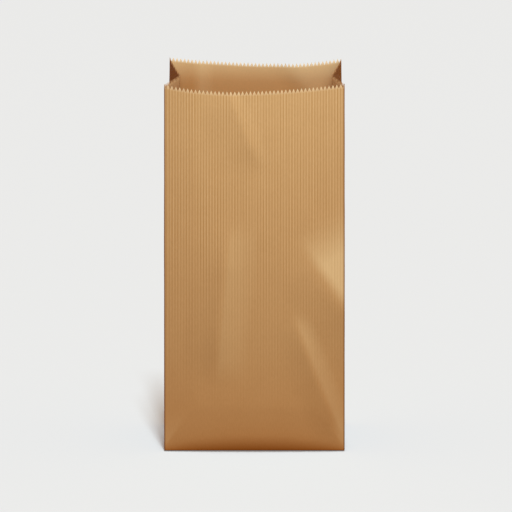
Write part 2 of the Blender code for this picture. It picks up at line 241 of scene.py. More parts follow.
def ease(value):
    """Runs from 0 to 1 with a level start and end."""
    value = min(max(value, 0.0), 1.0)
    return value * value * (3.0 - 2.0 * value)


def mix(a, b, share):
    return a + (b - a) * share


def soft_least(a, b, blend):
    """The lower of two values, rounded off where they cross."""
    near = max(blend - abs(a - b), 0.0) / blend
    return min(a, b) - near * near * blend / 4


def beside_fold(fold, x, z):
    """How far a place on a wide panel lies to the right of a fold's crest, and how full the fold is there."""
    run_x = fold.foot[0] - fold.head[0]
    run_z = fold.foot[1] - fold.head[1]
    length = hypot(run_x, run_z)
    along = ((x - fold.head[0]) * run_x + (z - fold.head[1]) * run_z) / length**2
    across = ((z - fold.head[1]) * run_x - (x - fold.head[0]) * run_z) / length
    return across, ease(FOLD_ENDS * min(along, 1.0 - along))


def soft_fold(fold, x, z):
    """How far one soft fold lifts the paper."""
    across, full = beside_fold(fold, x, z)
    away = hypot(across, fold.round) - fold.round
    return fold.lift * full * max(0.0, 1.0 - away / (fold.right if across > 0 else fold.left)) ** FLANK_POWER


def painted_fold_tone(folds, x, z):
    """How much painted highlight soft folds put on the paper, or darker painted shade if that is below
    nothing.
    """
    tone = 0.0
    for fold in folds:
        across, full = beside_fold(fold, x, z)
        full = min(1.0, TONE_GAIN * full)
        if across > 0:
            reach = TONE_REACH * fold.right
            tone += fold.bright * full * max(0.0, 1.0 - (across / reach) ** 2) * ease(across / fold.blend)
        else:
            tone -= fold.dull * full * max(0.0, 1.0 + across / fold.left) * ease(-across / fold.blend)
    return tone


def outer_shading(panel, along, z):
    """How much painted highlight, or darker painted shade below nothing, the outer face has at a place, and
    how much warm brown painted shade.
    """
    side = 2.0 * along - 1.0
    # painted shade at the foot and, fainter, over the lower part
    foot = exp(-max(z, 0.0) / (FOOT_REACH * mix(FOOT_CORNER, 1.0, 1.0 - side * side)))
    painted_shade = FOOT_SHADE * foot + LOW_SHADE * ease(1.0 - z / LOW_REACH)
    tone = FOOT_SHADE_DARK * foot
    if panel == FRONT:
        x = (along - 0.5) * BAG_WIDTH
        corner = ease((z / CORNER_RISE + abs(x) - BAG_WIDTH / 2) / CORNER_BLEND) * ease(1.0 - z / LEAN_TOP)
        return tone + CORNER_HIGHLIGHT * corner + painted_fold_tone(FRONT_FOLDS + (EDGE_FOLD,), x, z), painted_shade
    if panel == BACK:
        return tone, painted_shade
    # painted shade on the gussets, growing towards the rim
    high = ease((z - BAG_HEIGHT + CORNER_REACH) / CORNER_REACH)
    return tone + GUSSET_SHADE_DARK * high, painted_shade + GUSSET_SHADE * high


def inner_shading(panel, along, z):
    """The same for the inner face: painted light by the rim, and a warmer brown painted shade below."""
    high = ease((z - BAG_HEIGHT + INNER_PALE_REACH) / INNER_PALE_REACH)
    folds = painted_fold_tone(BACK_TONES, (0.5 - along) * BAG_WIDTH, z) if panel == BACK else 0.0
    return mix(INNER_DEEP_LIGHT, INNER_RIM_LIGHT, high) + folds, INNER_SHADE * (1.0 - high)


def curl_out(side, z):
    """How far a wide panel bellies out above its bottom fold. side runs from -1 to 1 across the panel."""
    middle = 1.0 - side * side
    height = CURL_HEIGHT * mix(CURL_CORNER, 1.0, middle)
    return CURL_OUT * middle * (1.0 - max(0.0, 1.0 - z / height) ** 2)


def lean_out(side, z):
    """How far the front panel leans outwards between the creases that rise from its bottom corners."""
    from_fold = (1.0 - abs(side)) * BAG_WIDTH / 2
    crease = min(CORNER_RISE * from_fold, LEAN_TOP)
    return LEAN_SLOPE * soft_least(z, crease, CREASE_BLEND)


def bow(side, z, lean):
    rise = max(z, 0.0) / BAG_HEIGHT
    return rise**BOW_POWER * (1.0 - side * side) * (1.0 + lean * side)


def edge_out(z):
    """How far the edge fold draws the front panel's right fold outwards where it runs over it."""
    return soft_fold(EDGE_FOLD, BAG_WIDTH / 2, z)


def front_out(side, z):
    """How far the front panel stands outside the plane of its folds."""
    x = side * BAG_WIDTH / 2
    folds = sum(soft_fold(fold, x, z) for fold in FRONT_FOLDS)
    held = 1.0 - abs(side) ** EDGE_FADE
    edge = soft_fold(EDGE_FOLD, x, z) - edge_out(z) * (1 + side) / 2
    return FRONT_BOW * bow(side, z, -BOW_LEAN) + folds * held + edge + curl_out(side, z) + lean_out(side, z)


def back_in(side, z):
    """How far the back panel stands inside the plane of its folds."""
    held = 1.0 - abs(side) ** EDGE_FADE
    crease = max(0.0, 1.0 - abs(z - BAG_DEPTH / 2) / BACK_CREASE_REACH)
    folds = BACK_CREASE_IN * crease**2 + sum(soft_fold(fold, side * BAG_WIDTH / 2, z) for fold in BACK_FOLDS)
    return BACK_BOW * bow(side, z, BOW_LEAN) + folds * held - curl_out(side, z)


def gusset_in(z, at_rim):
    """How far a gusset's middle fold is pushed in. It runs straight from the foot to the rim."""
    foot = BAG_DEPTH / 2
    if z < foot:
        return GUSSET_IN_LOW * z / foot
    return mix(GUSSET_IN_LOW, at_rim, (z - foot) / (BAG_HEIGHT - foot))


def corner_in(z, at_rim):
    return at_rim * ease((z - BAG_HEIGHT + CORNER_REACH) / CORNER_REACH)


def fold_lines(z, hand):
    """One side's front fold, middle fold and back fold. hand is 1 on the right and -1 on the left."""
    half_width = BAG_WIDTH / 2
    half_depth = BAG_DEPTH / 2
    pushed = gusset_in(z, GUSSET_IN_RIGHT if hand > 0 else GUSSET_IN_LEFT)
    drawn = corner_in(z, CORNER_IN_RIGHT if hand > 0 else CORNER_IN_LEFT)
    eased = edge_out(z) if hand > 0 else 0.0
    middle_y = sqrt(half_depth**2 - pushed**2) - half_depth
    back_y = middle_y + sqrt(half_depth**2 - (pushed - drawn) ** 2)
    front = Vector((hand * half_width, -half_depth - eased))
    middle = Vector((hand * (half_width - pushed), middle_y - eased / 2))
    return front, middle, Vector((hand * (half_width - drawn), back_y))


def gusset_point(z, hand, from_middle):
    """A point on a gusset. from_middle is -1 at the front fold, 0 at the middle fold and 1 at the back."""
    front, middle, back = fold_lines(z, hand)
    share = abs(from_middle)
    point = middle.lerp(back if from_middle > 0 else front, share)
    foot = BAG_DEPTH / 2
    if z < foot:
        # below the foot the gusset is a flat triangle between two creases that rise from the bottom corners
        pushed = GUSSET_IN_LOW * soft_least(z / foot, 1.0 - share, CREASE_BLEND / foot)
        point.x = hand * (BAG_WIDTH / 2 - max(pushed, 0.0))
    return point


def settle(panel, along, z):
    """How far the standing paper rises or sinks near the rim, where it isn't quite even."""
    side = {FRONT: 2 * along - 1, BACK: 1 - 2 * along}.get(panel)
    if panel == FRONT:
        shift = FRONT_RIM_TILT * side + FRONT_RIM_SKEW * side * (1 - side * side)
    elif panel == BACK:
        shift = -BACK_RIM_TILT * side - BACK_RIM_SKEW * side * (1 - side * side)
    else:
        hand = 1 if panel in (RIGHT_FRONT, RIGHT_BACK) else -1
        to_back = {
            RIGHT_FRONT: along / 2,
            RIGHT_BACK: (1 + along) / 2,
            LEFT_BACK: 1 - along / 2,
            LEFT_FRONT: (1 - along) / 2,
        }[panel]
        shift = hand * mix(FRONT_RIM_TILT, -BACK_RIM_TILT, to_back)
    return shift * (max(z, 0.0) / BAG_HEIGHT) ** SETTLE_POWER


def wall_point(panel, along, z):
    """A point on the outside of a wall. along runs from 0 to 1 in the direction round the bag."""
    if panel == FRONT:
        point = fold_lines(z, -1)[0].lerp(fold_lines(z, 1)[0], along)
        point.y -= front_out(2 * along - 1, z)
    elif panel == BACK:
        point = fold_lines(z, 1)[2].lerp(fold_lines(z, -1)[2], along)
        point.y -= back_in(1 - 2 * along, z)
    elif panel == RIGHT_FRONT:
        point = gusset_point(z, 1, along - 1)
    elif panel == RIGHT_BACK:
        point = gusset_point(z, 1, along)
    elif panel == LEFT_BACK:
        point = gusset_point(z, -1, 1 - along)
    else:
        point = gusset_point(z, -1, -along)
    return Vector((point.x, point.y, z + settle(panel, along, z)))


def panel_width(panel):
    return BAG_WIDTH if panel in (FRONT, BACK) else BAG_DEPTH / 2


def past_fold(panel, along):
    """The same place, told on the next panel if it lies past the end of this one."""
    if 0.0 <= along <= 1.0:
        return panel, along
    if along < 0.0:
        other = (panel - 1) % PANELS
        return other, 1.0 + along * panel_width(panel) / panel_width(other)
    other = (panel + 1) % PANELS
    return other, (along - 1.0) * panel_width(panel) / panel_width(other)


def from_fold(panel, along):
    return min(along, 1.0 - along) * panel_width(panel)


def rounded_point(panel, along, z):
    """A point on the outside of the sheet, rounded off at the fold edges."""
    point = wall_point(panel, along, z)
    if from_fold(panel, along) >= FOLD_RADIUS:
        return point
    reach = FOLD_RADIUS / panel_width(panel)
    before = wall_point(*past_fold(panel, along - reach), z)
    after = wall_point(*past_fold(panel, along + reach), z)
    return (before + 2 * point + after) / 4


def tooth_count(panel):
    return max(2, round(panel_width(panel) / TOOTH_PITCH))


def tip_height(panel, along):
    """Height of the line through the teeth's tips. The knife cuts the flattened bag, all layers at once."""
    if panel in (FRONT, BACK):
        flat_x = abs(2 * along - 1) * BAG_WIDTH / 2
    else:
        from_edge = along if panel in (RIGHT_FRONT, LEFT_BACK) else 1 - along
        flat_x = BAG_WIDTH / 2 - from_edge * BAG_DEPTH / 2
    return BAG_HEIGHT - RIM_SCOOP * (1.0 - (2 * flat_x / BAG_WIDTH) ** 2)


def shoulder_height(panel, along):
    return tip_height(panel, along) - TOOTH_DEPTH - SHOULDER


def sheet_columns():
    """The columns of the outer face, once round the bag."""
    columns = []
    flat = 0.0
    for panel in range(PANELS):
        steps = tooth_count(panel) * COLUMNS_PER_TOOTH
        for i in range(steps):
            along = i / steps
            columns.append(Column(panel, along, flat + along * panel_width(panel), i / COLUMNS_PER_TOOTH))
        flat += panel_width(panel)
    return columns


def row_heights():
    """The heights of the rows on a fold edge, from the base to the shoulder of the teeth."""
    low = base_height(0.0)
    # closer together where the bottom fold turns most
    heights = [low, low + 0.25 * FOLD_RADIUS, low + 0.5 * FOLD_RADIUS]
    low += FOLD_RADIUS
    for top, pitch in ROW_ZONES:
        top = min(top, BAG_HEIGHT - TOOTH_DEPTH - SHOULDER)
        steps = max(1, round((top - low) / pitch))
        heights += [mix(low, top, i / steps) for i in range(steps)]
        low = top
    return heights + [low]


def base_height(from_edge):
    """The underside of the base proper, above its two long flaps, at a distance from its fold edges."""
    return FLAP_LAYERS * PAPER + EDGE_LIFT * max(0.0, 1.0 - from_edge / EDGE_REACH) ** 2


def floor_height():
    """The upper side of the base, inside the bag."""
    return base_height(0.0) + BASE_LAYERS * PAPER


def tucked(z):
    """How far the bottom fold stands in from the wall's plane: half as far as a quarter circle would."""
    up = min(max(z - base_height(0.0), 0.0), FOLD_RADIUS)
    return 0.5 * (FOLD_RADIUS - sqrt(FOLD_RADIUS**2 - (FOLD_RADIUS - up) ** 2))


def cockle(point, z):
    """The sheet's faint unevenness, which fades to nothing at the base."""
    wave = noise.noise(point / COCKLE_SIZE)
    return COCKLE * wave * ease(z / CORNER_REACH)


def seam_raise(column):
    """How far the outer face stands up over the glued overlap."""
    if column.panel != BACK:
        return 0.0
    from_middle = abs((column.along - 0.5) * BAG_WIDTH + SEAM_FROM_MIDDLE)
    return SEAM_STEP * ease((SEAM_WIDTH / 2 - from_middle) / SEAM_STEP + 0.5)


def outward(points):
    """The horizontal direction out of a ring at each of its points."""
    directions = []
    for i, point in enumerate(points):
        run = points[(i + 1) % len(points)] - points[i - 1]
        directions.append(Vector((run.y, -run.x, 0.0)).normalized())
    return directions


def span_of(row, number, spans):
    """The points of one span of a closed row, both its ends included."""
    step = len(row) // spans
    return [row[i % len(row)] for i in range(number * step, (number + 1) * step + 1)]


class Sheet:
    """Collects the paper's points and faces, with what is known of each point on the sheet."""

    def __init__(self):
        self.points = []
        self.faces = []
        self.places = []  # distance round the flat sheet, height, and 1 on the outer face
        self.marks = []  # 1 on a fold edge, teeth counted along the row, and 1 at the cut edge
        self.slopes = []  # the way down the wall, for one metre of height
        self.shading_and_cut = []  # painted highlight or shade, warm brown painted shade, and the paleness of the cut

    def add_point(self, point, place, mark=(0.0, 0.0, 0.0), slope=(0.0, 0.0, -1.0), shading_and_cut=(0.0, 0.0, 0.0)):
        self.points.append(point)
        self.places.append(place)
        self.marks.append(mark)
        self.slopes.append(slope)
        self.shading_and_cut.append(shading_and_cut)
        return len(self.points) - 1

    def add_row(self, columns, heights, inner_step, cut=0.0):
        """One row of the sheet, with an inner point in every inner_step-th column. Returns their numbers."""
        surface = [rounded_point(c.panel, c.along, z) for c, z in zip(columns, heights)]
        below = [rounded_point(c.panel, c.along, z - TOOTH_DEPTH) for c, z in zip(columns, heights)]
        directions = outward(surface)
        outer, inner = [], []
        for i, (column, z, out) in enumerate(zip(columns, heights, directions)):
            # painted shade along the fold edges
            fold = 1.0 - min(1.0, from_fold(column.panel, column.along) / FOLD_SHADE_REACH)
            mark = (fold, column.teeth, cut)
            slope = (below[i] - surface[i]) / TOOTH_DEPTH
            point = surface[i] + out * (cockle(surface[i], z) - tucked(z))
            tip = cut * max(0.0, 1.0 - TIP_FADE * abs(column.teeth - round(column.teeth)))
            # the gussets' teeth get little of the cut's paleness: painted shade
            tip *= 1.0 if column.panel in (FRONT, BACK) else GUSSET_TIP
            shading_and_cut = (*outer_shading(column.panel, column.along, z), OUTER_TIP * tip)
            raised = point + out * seam_raise(column)
            outer.append(self.add_point(raised, (column.flat, z, 1.0), mark, slope, shading_and_cut))
            if inner_step and i % inner_step == 0:
                point.z += max(0.0, floor_height() - z)
                shading_and_cut = (*inner_shading(column.panel, column.along, z), tip)
                inner.append(self.add_point(point - out * PAPER, (column.flat, z, 0.0), mark, slope, shading_and_cut))
        return outer, inner

    def add_band(self, low, high, outside=True):
        """Faces between two closed rows, of which one may have several points to the other's one."""
        spans = min(len(low), len(high))
        for number in range(spans):
            face = span_of(low, number, spans) + span_of(high, number, spans)[::-1]
            self.faces.append(face if outside else face[::-1])

    def add_under_row(self, row, from_edge):
        """A ring of the underside, at a distance inside the fold edges."""
        shrink_x = 1.0 - 2 * from_edge / BAG_WIDTH
        shrink_y = 1.0 - 2 * from_edge / BAG_DEPTH
        ring = []
        for number in row:
            x, y, _ = self.points[number]
            point = Vector((x * shrink_x, y * shrink_y, base_height(from_edge)))
            ring.append(self.add_point(point, (point.x, point.y, 1.0)))
        return ring

    def add_flap(self, rows):
        """A flat piece of the folded base. A row gives its place along Y, half its width, and its height."""
        under, over = [], []
        for y, half_width, z in rows:
            ends = (Vector((-half_width, y, z)), Vector((half_width, y, z)))
            under.append([self.add_point(end, (end.x, end.y, 1.0)) for end in ends])
            over.append([self.add_point(end + Vector((0, 0, PAPER)), (end.x, end.y, 1.0)) for end in ends])
        for i in range(len(rows) - 1):
            self.faces.append([under[i][0], under[i + 1][0], under[i + 1][1], under[i][1]])
            self.faces.append([over[i][0], over[i][1], over[i + 1][1], over[i + 1][0]])
            self.faces.append([under[i][0], over[i][0], over[i + 1][0], under[i + 1][0]])
            self.faces.append([under[i][1], under[i + 1][1], over[i + 1][1], over[i][1]])
        self.faces.append([under[0][0], under[0][1], over[0][1], over[0][0]])
        self.faces.append([under[-1][1], under[-1][0], over[-1][0], over[-1][1]])

    def add_plate(self, outline, low, high):
        """A flat piece of the folded base, seen on the floor of the bag."""
        count = len(outline)
        under = [self.add_point(Vector((x, y, low)), (x, y, 0.0)) for x, y in outline]
        over = [self.add_point(Vector((x, y, high)), (x, y, 0.0)) for x, y in outline]
        self.faces += [under[::-1], over]
        for i in range(count):
            k = (i + 1) % count
            self.faces.append([under[i], under[k], over[k], over[i]])


def add_walls(sheet):
    """The walls with their cut edge, the underside and the floor, as one closed form."""
    columns = sheet_columns()
    nominal = row_heights()
    foot, top = BAG_DEPTH / 2, nominal[-1]
    rows = []
    for height in nominal:
        share = max(0.0, (height - foot) / (top - foot))
        heights = [height + share * (shoulder_height(c.panel, c.along) - top) for c in columns]
        rows.append(sheet.add_row(columns, heights, INNER_SPAN if height > nominal[0] else 0))
    tips = [tip_height(c.panel, c.along) for c in columns]
    valleys = [z - TOOTH_DEPTH - SHOULDER / 2 for z in tips]
    rows.append(sheet.add_row(columns, valleys, 1))
    rows.append(sheet.add_row(columns, tips, 1, cut=1.0))
    for (low, _), (high, _) in zip(rows, rows[1:]):
        sheet.add_band(low, high)
    inner_rows = [inner for _, inner in rows if inner]
    for low, high in zip(inner_rows, inner_rows[1:]):
        sheet.add_band(low, high, outside=False)
    sheet.add_band(*rows[-1])
    under = rows[0][0]
    for step in range(1, UNDER_ROWS + 1):
        ring = sheet.add_under_row(rows[0][0], EDGE_REACH * step / UNDER_ROWS)
        sheet.add_band(ring, under)
        under = ring
    sheet.faces += [under[::-1], inner_rows[0]]


def turned(outline):
    return [(-x, -y) for x, y in outline]


def long_flap(side):
    """Rows of a long bottom flap, from its fold to its free edge. side is -1 in front and 1 at the back."""
    fold_x = BAG_WIDTH / 2 - FLAP_SETBACK
    fold_y = BAG_DEPTH / 2 - FLAP_SETBACK
    length = fold_y + FLAP_OVERLAP / 2
    layers_over = 1 if side < 0 else FLAP_LAYERS
    steps = [EDGE_REACH * i / UNDER_ROWS for i in range(UNDER_ROWS + 1)] + [length]
    rows = []
    for step in steps:
        # the flap's sides are folded in at 45 degrees
        z = base_height(step + FLAP_SETBACK) - layers_over * PAPER
        rows.append((side * (fold_y - step), -side * (fold_x - step), z))
    return rows


def end_flap(hand):
    """Outline of the flap folded in from a gusset, seen on the floor of the bag."""
    setback = FLAP_SETBACK + PAPER
    inner_x = BAG_WIDTH / 2 - END_FLAP_LENGTH
    outer_x = BAG_WIDTH / 2 - setback
    half_depth = BAG_DEPTH / 2 - setback
    corners = [(inner_x, -half_depth), (outer_x, -half_depth), (outer_x, half_depth), (inner_x, half_depth)]
    return corners if hand > 0 else turned(corners)


def colour(code):
    """Linear RGBA of an sRGB hex code."""
    levels = [int(code[i : i + 2], 16) / 255 for i in (0, 2, 4)]
    linear = [c / 12.92 if c <= 0.04045 else ((c + 0.055) / 1.055) ** 2.4 for c in levels]
    return (*linear, 1.0)


def add_node(tree, kind, inputs=None, **settings):
    """Adds a node with its settings. Each input is given a value or the output that feeds it."""
    node = tree.nodes.new(kind)
    for name, value in settings.items():
        setattr(node, name, value)
    for key, value in (inputs or {}).items():
        if isinstance(value, bpy.types.NodeSocket):
            tree.links.new(value, node.inputs[key])
        else:
            node.inputs[key].default_value = value
    return node


def new_material(name):
    material = bpy.data.materials.new(name)
    material.use_nodes = True
    material.node_tree.nodes.clear()
    return material


def kraft_paper():
    """Unbleached kraft paper, rolled with fine ribs on one face: matt, warm brown, with loose fibres in it.
    Painted highlight and shade lie on its ribs, its soft folds and its inside, and painted shade at its foot,
    on the gussets and along its folds. The knife's cut shows the paler inside of the sheet."""
    material = new_material("kraft_paper")
    tree = material.node_tree
    place = add_node(tree, "ShaderNodeAttribute", attribute_name="place").outputs["Vector"]
    marks = add_node(tree, "ShaderNodeAttribute", attribute_name="marks").outputs["Vector"]
    shading_and_cut = add_node(tree, "ShaderNodeAttribute", attribute_name="shading_and_cut").outputs["Vector"]
    round_sheet, height, outside = add_node(tree, "ShaderNodeSeparateXYZ", {0: place}).outputs
    fold = add_node(tree, "ShaderNodeSeparateXYZ", {0: marks}).outputs[0]
    painted_tone, painted_shade, tip = add_node(tree, "ShaderNodeSeparateXYZ", {0: shading_and_cut}).outputs

    # fibres 0.5 mm wide and 4 mm long, drawn coarser than the real 0.03 mm ones so that they show
    machine = add_node(tree, "ShaderNodeMapping", {0: place, "Scale": (1900, 260, 40)})
    fibres = add_node(tree, "ShaderNodeTexNoise", {0: machine.outputs[0], "Scale": 1.0, "Detail": 3.0})
    turned_place = {0: place, "Rotation": (0, 0, radians(50)), "Scale": (1400, 320, 40)}
    crossing = add_node(tree, "ShaderNodeMapping", turned_place)
    stray = add_node(tree, "ShaderNodeTexNoise", {0: crossing.outputs[0], "Scale": 1.0, "Detail": 2.0})
    # clouds of thicker and thinner pulp, about 14 mm across
    where = add_node(tree, "ShaderNodeTexCoord").outputs["Object"]
    clouds = add_node(tree, "ShaderNodeTexNoise", {0: where, "Scale": 70.0, "Detail": 3.0})
    strands = add_node(tree, "ShaderNodeMath", {0: fibres.outputs[0], 1: stray.outputs[0]}, operation="ADD")
    summed = {0: clouds.outputs[0], 1: 0.5, 2: strands.outputs[0]}
    grain = add_node(tree, "ShaderNodeMath", summed, operation="MULTIPLY_ADD").outputs[0]
    thin = add_node(tree, "ShaderNodeMapRange", {0: grain, 1: 0.75, 2: 1.75}, interpolation_type="SMOOTHSTEP")
    pulps = {0: thin.outputs[0], 6: colour(PULP_THICK), 7: colour(PULP_THIN)}
    pulp = add_node(tree, "ShaderNodeMix", pulps, data_type="RGBA")

    # painted highlight on the ribs' crests and painted shade in their valleys
    turns = add_node(tree, "ShaderNodeMath", {0: round_sheet, 1: 2 * pi / RIB_PITCH}, operation="MULTIPLY")
    wave = add_node(tree, "ShaderNodeMath", {0: turns.outputs[0]}, operation="SINE")
    deep = add_node(tree, "ShaderNodeMapRange", {0: height, 1: RIB_FOOT, 2: RIB_FULL})
    wave = add_node(tree, "ShaderNodeMath", {0: wave.outputs[0], 1: deep.outputs[0]}, operation="MULTIPLY")
    wave = add_node(tree, "ShaderNodeMath", {0: wave.outputs[0], 1: outside}, operation="MULTIPLY")
    # the painted rib shade is stronger on some ribs than on others, where the worn roller pressed harder
    across_ribs = add_node(tree, "ShaderNodeMapping", {0: place, "Scale": (330, 9, 0)})
    press = add_node(tree, "ShaderNodeTexNoise", {0: across_ribs.outputs[0], "Scale": 1.0, "Detail": 1.0})
    pressed = {0: press.outputs[0], 1: 0.3, 2: 0.7, 3: RIB_SHADE_LEAST, 4: RIB_SHADE_MOST}
    press = add_node(tree, "ShaderNodeMapRange", pressed)
    wave = add_node(tree, "ShaderNodeMath", {0: wave.outputs[0], 1: press.outputs[0]}, operation="MULTIPLY")
    shaded = {0: wave.outputs[0], 1: RIB_SHADE, 2: (1.0, 1.0, 1.0)}
    shade = add_node(tree, "ShaderNodeVectorMath", shaded, operation="MULTIPLY_ADD")
    ribbed = {0: pulp.outputs[2], 1: shade.outputs[0]}
    face = add_node(tree, "ShaderNodeVectorMath", ribbed, operation="MULTIPLY").outputs[0]

    # painted highlight and painted shade on the soft folds, corners, foot, gussets and inside, painted shade
    # on the fold edges, and the teeth pale at their tips
    painted_highlight = add_node(tree, "ShaderNodeMapRange", {0: painted_tone, 1: 0.0, 2: 1.0})
    painted_dark = add_node(tree, "ShaderNodeMapRange", {0: painted_tone, 1: 0.0, 2: -1.0})
    edge_shade = add_node(tree, "ShaderNodeMath", {0: fold, 1: FOLD_SHADE_SHARE}, operation="MULTIPLY")
    cover = (
        (painted_shade, SHADE_BROWN_TINT),
        (painted_highlight.outputs[0], HIGHLIGHT_TINT),
        (painted_dark.outputs[0], SHADE_DARK_TINT),
        (edge_shade.outputs[0], FOLD_SHADE_TINT),
        (tip, CUT_TINT),
    )
    for share, tint in cover:
        tinted = add_node(tree, "ShaderNodeMix", {0: share, 6: face, 7: colour(tint)}, data_type="RGBA")
        face = tinted.outputs[2]

    bump = add_node(tree, "ShaderNodeBump", {"Strength": 0.35, "Distance": 0.00006, "Height": grain})
    glaze = add_node(tree, "ShaderNodeMapRange", {0: grain, 1: 0.9, 2: 1.9, 3: 0.62, 4: 0.8})
    surface = {
        "Base Color": face,
        "Roughness": glaze.outputs[0],
        "Normal": bump.outputs[0],
        "Metallic": 0.0,
        "Specular IOR Level": 0.10,  # loose fibres scatter most of what a smooth sheet would reflect
    }
    shader = add_node(tree, "ShaderNodeBsdfPrincipled", surface)
    add_node(tree, "ShaderNodeOutputMaterial", {0: shader.outputs[0]})
    return material


def rolled_and_cut():
    """The tool work on the folded sheet: ribs rolled into its outer face, teeth cut into its upper edge."""
    tree = bpy.data.node_groups.new("rolled_and_cut", "GeometryNodeTree")
    tree.interface.new_socket("Sheet", in_out="INPUT", socket_type="NodeSocketGeometry")
    for name in ("Rib Pitch", "Rib Depth", "Rib Foot", "Rib Full", "Tooth Depth", "Tooth Curve"):
        tree.interface.new_socket(name, in_out="INPUT", socket_type="NodeSocketFloat")
    tree.interface.new_socket("Paper", in_out="INPUT", socket_type="NodeSocketMaterial")
    tree.interface.new_socket("Bag", in_out="OUTPUT", socket_type="NodeSocketGeometry")
    given = add_node(tree, "NodeGroupInput").outputs

    place = add_node(tree, "GeometryNodeInputNamedAttribute", {0: "place"}, data_type="FLOAT_VECTOR")
    marks = add_node(tree, "GeometryNodeInputNamedAttribute", {0: "marks"}, data_type="FLOAT_VECTOR")
    slope = add_node(tree, "GeometryNodeInputNamedAttribute", {0: "slope"}, data_type="FLOAT_VECTOR")
    round_sheet, height, outside = add_node(tree, "ShaderNodeSeparateXYZ", {0: place.outputs[0]}).outputs
    _, teeth, cut = add_node(tree, "ShaderNodeSeparateXYZ", {0: marks.outputs[0]}).outputs

    turns = add_node(tree, "ShaderNodeMath", {0: round_sheet, 1: given["Rib Pitch"]}, operation="DIVIDE")
    angle = add_node(tree, "ShaderNodeMath", {0: turns.outputs[0], 1: 2 * pi}, operation="MULTIPLY")
    wave = add_node(tree, "ShaderNodeMath", {0: angle.outputs[0]}, operation="SINE")
    # the ribs stand outwards only, so that they never reach through the thin sheet
    wave = add_node(tree, "ShaderNodeMath", {0: wave.outputs[0], 1: 1.0}, operation="ADD")
    deep = add_node(tree, "ShaderNodeMapRange", {0: height, 1: given["Rib Foot"], 2: given["Rib Full"]})
    rib = add_node(tree, "ShaderNodeMath", {0: wave.outputs[0], 1: deep.outputs[0]}, operation="MULTIPLY")
    rib = add_node(tree, "ShaderNodeMath", {0: rib.outputs[0], 1: outside}, operation="MULTIPLY")
    half = add_node(tree, "ShaderNodeMath", {0: given["Rib Depth"], 1: 0.5}, operation="MULTIPLY")
    rib = add_node(tree, "ShaderNodeMath", {0: rib.outputs[0], 1: half.outputs[0]}, operation="MULTIPLY")
    normal = add_node(tree, "GeometryNodeInputNormal")
    risen = {0: normal.outputs[0], "Scale": rib.outputs[0]}
    raised = add_node(tree, "ShaderNodeVectorMath", risen, operation="SCALE")

    # a tooth falls from its tip, at each whole count, to the valleys half a count away
    fall = add_node(tree, "ShaderNodeMath", {0: teeth, 1: 0.5}, operation="PINGPONG")
    fall = add_node(tree, "ShaderNodeMath", {0: fall.outputs[0], 1: 2.0}, operation="MULTIPLY")
    fall = add_node(tree, "ShaderNodeMath", {0: fall.outputs[0], 1: given["Tooth Curve"]}, operation="POWER")
    full = add_node(tree, "ShaderNodeMath", {0: cut, 1: given["Tooth Depth"]}, operation="MULTIPLY")
    fall = add_node(tree, "ShaderNodeMath", {0: fall.outputs[0], 1: full.outputs[0]}, operation="MULTIPLY")
    fallen = {0: slope.outputs[0], "Scale": fall.outputs[0]}
    lowered = add_node(tree, "ShaderNodeVectorMath", fallen, operation="SCALE")
    both = {0: raised.outputs[0], 1: lowered.outputs[0]}
    moved = add_node(tree, "ShaderNodeVectorMath", both, operation="ADD")
    bag = add_node(tree, "GeometryNodeSetPosition", {"Geometry": given["Sheet"], "Offset": moved.outputs[0]})
    whole = add_node(tree, "GeometryNodeRealizeInstances", {0: bag.outputs[0]})
    covered = {"Geometry": whole.outputs[0], "Material": given["Paper"]}
    papered = add_node(tree, "GeometryNodeSetMaterial", covered)
    add_node(tree, "NodeGroupOutput", {0: papered.outputs[0]})
    return tree


def worked_mesh(item, tree, values):
    """The item's mesh with the tree's work done on it."""
    tool = item.modifiers.new(tree.name, "NODES")
    tool.node_group = tree
    for socket in tree.interface.items_tree:
        if socket.name in values:
            tool[socket.identifier] = values[socket.name]
    made = item.evaluated_get(bpy.context.evaluated_depsgraph_get())
    mesh = bpy.data.meshes.new_from_object(made)
    item.modifiers.remove(tool)
    return mesh


def lunch_bag():
    sheet = Sheet()
    add_walls(sheet)
    sheet.add_flap(long_flap(-1))
    sheet.add_flap(long_flap(1))
    for hand in (-1, 1):
        # its underside is sunk into the floor, so that the two never lie in one plane
        sheet.add_plate(end_flap(hand), floor_height() - 0.5 * PAPER, floor_height() + PAPER)
    mesh = bpy.data.meshes.new("folded_sheet")
    mesh.from_pydata(sheet.points, [], sheet.faces)
    kept = {"place": sheet.places, "marks": sheet.marks, "slope": sheet.slopes, "shading_and_cut": sheet.shading_and_cut}
    for name, values in kept.items():
        attribute = mesh.attributes.new(name, "FLOAT_VECTOR", "POINT")
        attribute.data.foreach_set("vector", [number for value in values for number in value])
    mesh.shade_smooth()
    bag = bpy.data.objects.new("folded_bag", mesh)
    bpy.context.collection.objects.link(bag)
    values = {
        "Rib Pitch": RIB_PITCH,
        "Rib Depth": RIB_DEPTH,
        "Rib Foot": RIB_FOOT,
        "Rib Full": RIB_FULL,
        "Tooth Depth": TOOTH_DEPTH,
        "Tooth Curve": TOOTH_CURVE,
        "Paper": kraft_paper(),
    }
    bag.data = worked_mesh(bag, rolled_and_cut(), values)
    bag.data.set_sharp_from_angle(angle=SHARP)
    bpy.data.meshes.remove(mesh)
    return bag


